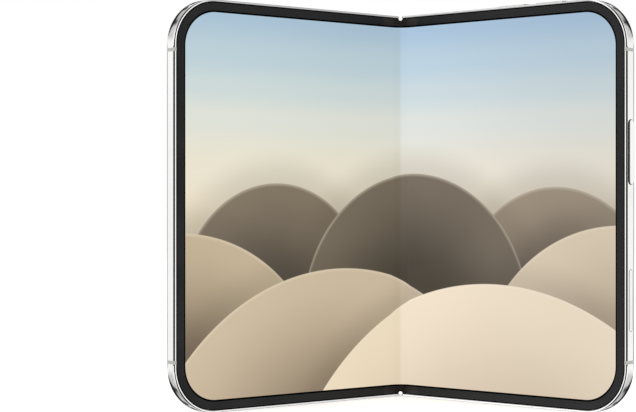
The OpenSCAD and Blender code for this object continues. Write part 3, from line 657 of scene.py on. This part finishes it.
def innerDisplay(name, side, body):
    bm = roundPlate(phone["lip"] + phone["displayInset"])
    for cut in foldCuts:
        bmesh.ops.bisect_plane(bm, geom=bm.verts[:] + bm.edges[:] + bm.faces[:],
                               plane_co=(cut, 0, 0), plane_no=(1, 0, 0))
    bmesh.ops.translate(bm, verts=bm.verts, vec=(0, phone["displayDepth"], 0))
    back = bmesh.ops.extrude_face_region(bm, geom=bm.faces[:], use_keep_orig=True)
    bmesh.ops.translate(bm, verts=[g for g in back["geom"] if isVert(g)],
                        vec=(0, phone["displayThick"], 0))
    keepFlatPlace(bm, side)
    layOver(bm, side)
    piece = makePiece(name, bm, "picture")
    blendOverFold(piece, side, body)
    return piece


def sweptRing(profile, cuts, inset, segments=20):
    # sweeps a closed section (distance in from the edge, depth) from the fold round a half and back
    bm = bmesh.new()
    wide, tall, corner = phone["halfWidth"], phone["height"], phone["corner"]
    across = bm.verts.layers.float.new("across")      # how far each point lies in from the outline
    start = [bm.verts.new((cuts[0], y, inset + d)) for d, y in profile]
    for vert, (d, y) in zip(start, profile):
        vert[across] = d
    tip = [bm.edges.new(pair) for pair in zip(start, start[1:] + start[:1])]
    bmesh.ops.edgeloop_fill(bm, edges=tip)

    def run(offset):
        nonlocal tip
        geom = bmesh.ops.extrude_edge_only(bm, edges=tip)["geom"]
        bmesh.ops.translate(bm, verts=[g for g in geom if isVert(g)], vec=offset)
        tip = [g for g in geom if isEdge(g) and all(v in geom for v in g.verts)]

    def turnCorner(height):
        nonlocal tip
        verts = list({v for e in tip for v in e.verts})
        geom = bmesh.ops.spin(bm, geom=verts + tip, cent=(wide - corner, 0, height),
                              axis=(0, -1, 0), angle=math.radians(90), steps=segments,
                              use_duplicate=False)["geom_last"]
        tip = [g for g in geom if isEdge(g)]

    stops = list(cuts) + [wide - corner]
    for here, there in zip(stops, stops[1:]):
        run((there - here, 0, 0))
    turnCorner(corner)
    run((0, 0, tall - 2 * corner))
    turnCorner(tall - corner)
    for here, there in zip(reversed(stops), list(reversed(stops))[1:]):
        run((there - here, 0, 0))
    bmesh.ops.edgeloop_fill(bm, edges=tip)
    bmesh.ops.recalc_face_normals(bm, faces=bm.faces)
    return bm


bezelSet = {"edge": 0.2, "inner": 0.42, "gap": 0.03}


def cutNotch(bm):       # draws the bezel's outer edge in near the fold and keeps its inner edge
    across = bm.verts.layers.float["across"]
    middle = phone["height"] / 2
    for vert in bm.verts:
        near = (notchSet["half"] - vert.co.x) / (notchSet["half"] - notchSet["floor"])
        if near > 0:
            near = min(near, 1.0)
            straight = notchSet["straight"]
            eased = straight * near + (1 - straight) * near * near * (3 - 2 * near)
            drop = notchSet["depth"] * eased * (1 - vert[across] / phone["bezel"])
            vert.co.z += drop if vert.co.z < middle else -drop


def innerBezel(name, side, body):
    wide = phone["bezel"]
    deep = phone["displayDepth"]
    edge, inner, gap = bezelSet["edge"], bezelSet["inner"], bezelSet["gap"]
    # a small chamfer at the rim, and an inner slope that falls to the display
    profile = [(gap, deep), (gap, edge * 0.8), (gap + edge, 0.0), (wide - inner, 0.0),
               (wide - inner * 0.6, 0.03), (wide - inner * 0.25, 0.09), (wide, deep)]
    bm = sweptRing(profile, [0.0] + foldCuts, phone["lip"])
    across = bm.verts.layers.float["across"]
    for face in bm.faces:
        spread = [vert[across] for vert in face.verts]
        if min(spread) > wide - inner - 0.01 or max(spread) < gap + edge + 0.01:
            face.material_index = 1
    cutNotch(bm)
    layOver(bm, side)
    piece = makePiece(name, bm, "bezel")
    piece.data.materials.append(finishes["bezelSlope"])
    blendOverFold(piece, side, body)
    return piece


for side, hand, body in ((1, "right", "right_half"), (-1, "left", "left_half")):
    shown = innerDisplay(hand + "_inner_display", side, body)
    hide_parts(hand + "_display", "fold_display_" + hand)
    rim = innerBezel(hand + "_inner_bezel", side, body)
    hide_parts(hand + "_bezel", "fold_bezel_" + hand)
print("inner display made")


def turnRound(bm, profile, place, across, steps):
    # spins (radius, height) points about a line through place, which runs in "depth" or in "rise"
    u, y, z = place
    if across == "depth":
        points = [(u + radius, y + height, z) for radius, height in profile]
        axis = (0, 1, 0)
    else:
        points = [(u + radius, y, z + height) for radius, height in profile]
        axis = (0, 0, 1)
    verts = [bm.verts.new(point) for point in points]
    edges = [bm.edges.new(pair) for pair in zip(verts, verts[1:])]
    bmesh.ops.spin(bm, geom=verts + edges, cent=place, axis=axis, angle=2 * math.pi, steps=steps,
                   use_merge=True, use_duplicate=False)


def keepReach(bm, places, radius, across):     # writes how far out each corner lies as a UV map
    layer = bm.loops.layers.uv.new("reach")
    other = 2 if across == "depth" else 1
    for face in bm.faces:
        for loop in face.loops:
            spot = loop.vert.co
            away = min(math.hypot(spot[0] - place[0], spot[other] - place[other]) for place in places)
            loop[layer].uv = (min(away / radius, 1.0), 0.5)


def roundPieces(name, profile, places, side, body, material, across="depth", steps=64):
    bm = bmesh.new()
    for place in places:
        turnRound(bm, profile, place, across, steps)
    bmesh.ops.remove_doubles(bm, verts=bm.verts, dist=1e-5)
    keepReach(bm, places, max(radius for radius, height in profile), across)
    layOver(bm, side)
    return makePiece(name, bm, material, body)


cameras = {
    "u": 67.4, "pitch": 18.8, "z": 106.7, "window": 7.1, "seat": 7.5, "face": 8.0, "round": 0.09,
    # the well of the baffle, its steps down to the floor, and the dome that stands there
    "well": 3.1, "steps": 4, "stepIn": 0.24, "stepDown": 0.09, "stepWide": 0.16, "floor": 1.9,
    "dome": 1.85, "domeFoot": 0.10, "domeRise": 0.26,
}


def cameraDetails():
    seat, face, well = cameras["seat"], cameras["face"], cameras["well"]
    window, edge = cameras["window"], cameras["round"]
    places = [(cameras["u"] - step * cameras["pitch"], 0, cameras["z"]) for step in range(2)]
    glass = [(0, seat), (window, seat), (window, face - edge), (window - edge, face), (well, face),
             (well - 0.10, face - 0.03)]
    for step in range(cameras["steps"]):     # the baffle narrows in small steps
        radius = well - 0.12 - cameras["stepIn"] * step
        height = face - 0.09 - cameras["stepDown"] * step
        glass += [(radius, height), (radius - cameras["stepWide"], height - 0.01)]
    glass += [(cameras["floor"], seat + 0.08), (0, seat + 0.06)]
    windows = roundPieces("lens_windows", glass, places, 1, "right_half", "lens")
    windows.data.materials.append(finishes["baffle"])
    reach = windows.data.uv_layers["reach"].data
    for facet in windows.data.polygons:      # everything within the well is the baffle's black
        if max(reach[corner].uv[0] for corner in facet.loop_indices) * window < well - 0.05:
            facet.material_index = 1
    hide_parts("camera_windows")

    dome = [(0, seat + 0.09)]
    for angle in range(0, 91, 9):
        aside, rise = math.sin(math.radians(90 - angle)), math.sin(math.radians(angle))
        dome.append((cameras["dome"] * aside, seat + cameras["domeFoot"] + cameras["domeRise"] * rise))
    roundPieces("lens_fronts", dome, places, 1, "right_half", "lensCoat")


flash = {
    "u": 31.1, "z": 102.1, "radius": 2.5, "foot": 4.6, "face": 6.5, "round": 0.1,
    "rim": 0.35, "ridges": 6, "middle": 0.6,      # the flat middle is this share of a ridge
}


def flashDetail():
    radius, face, edge = flash["radius"], flash["face"], flash["round"]
    inner = radius - flash["rim"]
    profile = [(0, flash["foot"]), (radius, flash["foot"]), (radius, face - edge),
               (radius - edge, face), (inner, face)]
    pitch = inner / (flash["ridges"] + flash["middle"])
    for ridge in range(flash["ridges"]):     # a stepped lens: each ring rises slowly, drops at once
        outer = inner - ridge * pitch
        profile += [(outer - 0.03, face - 0.10), (outer - pitch, face - 0.02)]
    profile.append((0, face - 0.03))
    lens = roundPieces("flash_lens", profile, [(flash["u"], 0, flash["z"])], 1, "right_half",
                       "flashLens")
    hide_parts("flash_window")


# the section of a gauze button, and where the sound holes lie
gauze = [(0, -0.08), (0.62, -0.08), (0.70, -0.02), (0.70, 0.06), (0.60, 0.10), (0, 0.12)]
sound = {
    "holes": 6, "pitch": 2.3, "speaker": 58.0, "earpiece": 42.0, "mics": (27.7, 30.0), "deep": 1.1,
    "rearMic": (32.3, 6.2, 111.4), "rearShare": 0.68, "steps": 24,
}


def soundDetails():
    row = [(step - (sound["holes"] - 1) / 2) * sound["pitch"] for step in range(sound["holes"])]
    middle = phone["thickness"] / 2
    speaker = [(sound["speaker"] + step, middle, sound["deep"]) for step in row]
    mics = [(u, middle, sound["deep"]) for u in sound["mics"]]
    earpiece = [(sound["earpiece"] + step, middle, phone["height"] - sound["deep"]) for step in row]
    rows = [("speaker_mesh", speaker, 1, "right_half"), ("mic_mesh", mics, 1, "right_half"),
            ("earpiece_mesh", earpiece, -1, "left_half")]
    for name, places, side, body in rows:
        roundPieces(name, gauze, places, side, body, "mesh", "rise", sound["steps"])
    small = [(radius * sound["rearShare"], height) for radius, height in gauze]
    roundPieces("rear_mic_mesh", small, [sound["rearMic"]], 1, "right_half", "mesh", "depth",
                sound["steps"])


coverLens = {
    "u": 42.0, "z": 113.2, "seat": 4.7, "face": 4.79, "radius": 1.84,
    "dish": [(1.15, 0), (1.10, 0.02), (0.95, 0.05), (0.80, 0.055), (0.5, 0.02), (0, 0.005)],
}


def coverDetail():
    seat, face, radius = coverLens["seat"], coverLens["face"], coverLens["radius"]
    profile = [(0, seat), (radius, seat), (radius, face - 0.04), (radius - 0.05, face)]
    profile += [(reach, face - drop) for reach, drop in coverLens["dish"]]
    roundPieces("cover_lens", profile, [(coverLens["u"], 0, coverLens["z"])], -1, "left_half",
                "lensCoat")


port = {
    "u": 42.0, "contacts": 12, "pitch": 0.5, "half": 0.35, "start": 1.4,
    "wide": 0.27, "thick": 0.05, "long": 4.0, "round": 0.015,
}


def portContacts():
    bm = bmesh.new()
    for face in (-1, 1):
        for count in range(port["contacts"]):
            strip = bmesh.ops.create_cube(bm, size=1.0)["verts"]
            bmesh.ops.scale(bm, vec=(port["wide"], port["thick"], port["long"]), verts=strip)
            edges = list({edge for vert in strip for edge in vert.link_edges})
            strip = set(bmesh.ops.bevel(bm, geom=edges, affect="EDGES", offset=port["round"],
                                        segments=2, profile=0.5, material=-1)["verts"])
            place = (port["u"] + (count - (port["contacts"] - 1) / 2) * port["pitch"],
                     phone["thickness"] / 2 + face * port["half"], port["start"] + port["long"] / 2)
            bmesh.ops.translate(bm, verts=list(strip), vec=place)
    layOver(bm, 1)
    makePiece("port_contacts", bm, "contact", "right_half")


cameraDetails()
flashDetail()
soundDetails()
coverDetail()
portContacts()
print("details made")


# White all round, with dark panels and bright strips far away that only mirrors show

studio = {
    "sky": 0.68, "floor": 3.0, "floorColour": (0.86, 0.86, 0.86, 1), "floorGlow": 0.42,
    # how softly panels change at the floor's level, and strips from hand to hand
    "levelSoft": 0.02, "handSoft": 0.1,
    # dark panels: which way the azimuth counts from, where each begins, is full and ends in degrees,
    # how dark it is, and how dark below the floor where that differs
    "panels": [
        {"from": "ahead", "az": (-1, -1, 60.5, 64.5), "up": (-1, -1, 50, 56), "dark": 0.985},
        {"from": "ahead", "az": (70.5, 73.5, 98, 105), "up": (-1, -1, 5.9, 7.0), "dark": 0.97},
        {"from": "ahead", "az": (67.8, 69.2, 82, 88), "up": (5.9, 6.9, 50, 60),
         "dark": 0.55, "below": 0.25},
        {"from": "ahead", "az": (-1, -1, 130, 140), "up": (45, 50, 90, 91), "dark": 0.97},
        {"from": "ahead", "az": (82, 90, 145, 155), "up": (30, 36, 50, 56), "dark": 0.55},
        {"from": "behind", "az": (16, 22, 53, 58), "up": (-1, -1, 5, 8), "dark": 0.97},
        {"from": "behind", "az": (17, 22, 50, 57), "up": (12.5, 14.5, 28, 32), "dark": 0.97},
        {"from": "behind", "az": (4, 9, 20, 25), "up": (1, 5, 21, 25), "dark": 0.97},
        {"from": "behind", "az": (30, 38, 66, 76), "up": (8, 16, 31, 37), "dark": 0.35},
    ],
    # bright strips on either hand, stronger on the left
    "strips": [
        {"az": (60, 63, 74, 79), "up": (-1, -1, 8.5, 10), "left": 0.2, "right": 0.2},
        {"az": (52, 58, 80, 86), "up": (11, 15, 30, 36), "left": 2.5, "right": 0.2},
    ],
}


def seenDirectly(tree):   # 1 for the camera, mirrors and glass, 0 for the light on the object
    path = tree.nodes.new("ShaderNodeLightPath")
    both = maths(tree, "MAXIMUM", path.outputs["Is Camera Ray"], path.outputs["Is Glossy Ray"])
    return maths(tree, "MAXIMUM", both, path.outputs["Is Transmission Ray"])


def within(tree, value, stops):     # 1 between the two inner stops, fading out to the outer ones
    rise = fade(tree, value, 0.0, 1.0, stops[0], stops[1]) if stops[1] > 0 else 1.0
    fall = fade(tree, value, 1.0, 0.0, stops[2], stops[3])
    return maths(tree, "MULTIPLY", rise, fall)


def makeWorld():
    world = bpy.data.worlds.new("studio")
    bpy.context.scene.world = world
    world.use_nodes = True
    tree = world.node_tree
    back = tree.nodes["Background"]
    back.inputs[0].default_value = (1, 1, 1, 1)
    light = maths(tree, "ADD", maths(tree, "MULTIPLY", seenDirectly(tree), 1 - studio["sky"]),
                  studio["sky"])

    axes = tree.nodes.new("ShaderNodeSeparateXYZ")
    tree.links.new(tree.nodes.new("ShaderNodeTexCoord").outputs["Generated"], axes.inputs[0])
    right, behind, rise = axes.outputs
    degrees = 180 / math.pi
    around = maths(tree, "ARCTAN2", maths(tree, "ABSOLUTE", right), behind)
    fromBehind = maths(tree, "MULTIPLY", around, degrees)
    fromAhead = maths(tree, "SUBTRACT", 180.0, fromBehind)
    up = maths(tree, "MULTIPLY", maths(tree, "ABSOLUTE", maths(tree, "ARCSINE", rise)), degrees)
    mirrored = tree.nodes.new("ShaderNodeLightPath").outputs["Is Glossy Ray"]

    def cover(azimuth, patch, strength):     # how much of a patch a mirror ray sees
        shape = maths(tree, "MULTIPLY", within(tree, azimuth, patch["az"]),
                      within(tree, up, patch["up"]))
        return maths(tree, "MULTIPLY", maths(tree, "MULTIPLY", shape, mirrored), strength)

    soft = studio["levelSoft"]
    for panel in studio["panels"]:
        azimuth = fromAhead if panel["from"] == "ahead" else fromBehind
        dark = fade(tree, rise, panel.get("below", panel["dark"]), panel["dark"], -soft, soft)
        shade = maths(tree, "SUBTRACT", 1.0, cover(azimuth, panel, dark))
        light = maths(tree, "MULTIPLY", light, shade)
    soft = studio["handSoft"]
    for strip in studio["strips"]:
        gain = fade(tree, right, strip["left"], strip["right"], -soft, soft)
        more = maths(tree, "ADD", cover(fromAhead, strip, gain), 1.0)
        light = maths(tree, "MULTIPLY", light, more)
    tree.links.new(light, back.inputs[1])


def floorMaterial():
    material = bpy.data.materials.new("paleFloor")
    material.use_nodes = True
    tree = material.node_tree
    tree.nodes.clear()
    diffuse = tree.nodes.new("ShaderNodeBsdfDiffuse")
    diffuse.inputs[0].default_value = studio["floorColour"]
    glow = tree.nodes.new("ShaderNodeEmission")
    tree.links.new(maths(tree, "MULTIPLY", seenDirectly(tree), studio["floorGlow"]), glow.inputs[1])
    both = tree.nodes.new("ShaderNodeAddShader")
    tree.links.new(diffuse.outputs[0], both.inputs[0])
    tree.links.new(glow.outputs[0], both.inputs[1])
    # from below the floor is clear, so the underside can be looked at
    clear = tree.nodes.new("ShaderNodeBsdfTransparent")
    sides = tree.nodes.new("ShaderNodeMixShader")
    tree.links.new(tree.nodes.new("ShaderNodeNewGeometry").outputs["Backfacing"], sides.inputs[0])
    tree.links.new(both.outputs[0], sides.inputs[1])
    tree.links.new(clear.outputs[0], sides.inputs[2])
    out = tree.nodes.new("ShaderNodeOutputMaterial")
    tree.links.new(sides.outputs[0], out.inputs[0])
    return material


def makeFloor():
    bm = bmesh.new()
    bmesh.ops.create_grid(bm, x_segments=1, y_segments=1, size=studio["floor"] / 2)
    mesh = bpy.data.meshes.new("floor")
    bm.to_mesh(mesh)
    bm.free()
    mesh.materials.append(floorMaterial())
    floor = bpy.data.objects.new("floor", mesh)
    bpy.context.scene.collection.objects.link(floor)
    floor.visible_glossy = False


lamps = {  # place in metres, size, power
    "key": ((-0.55, -0.7, 0.95), 0.8, 3.6),
    "fill": ((0.8, -0.35, 0.6), 0.8, 1.4),
    "back": ((0.25, 0.85, 0.8), 0.7, 3.2),
}


def makeLamps():
    for name, (place, size, power) in lamps.items():
        data = bpy.data.lights.new(name, "AREA")
        data.shape = "DISK"
        data.size = size
        data.energy = power
        lamp = bpy.data.objects.new(name, data)
        lamp.location = place
        aim = Vector((0, 0, phone["height"] / 2 * mm)) - lamp.location
        lamp.rotation_euler = aim.to_track_quat("-Z", "Y").to_euler()
        lamp.visible_glossy = False
        bpy.context.scene.collection.objects.link(lamp)


makeWorld()
makeFloor()
makeLamps()
bpy.context.scene.view_settings.view_transform = "Standard"
print("studio set")
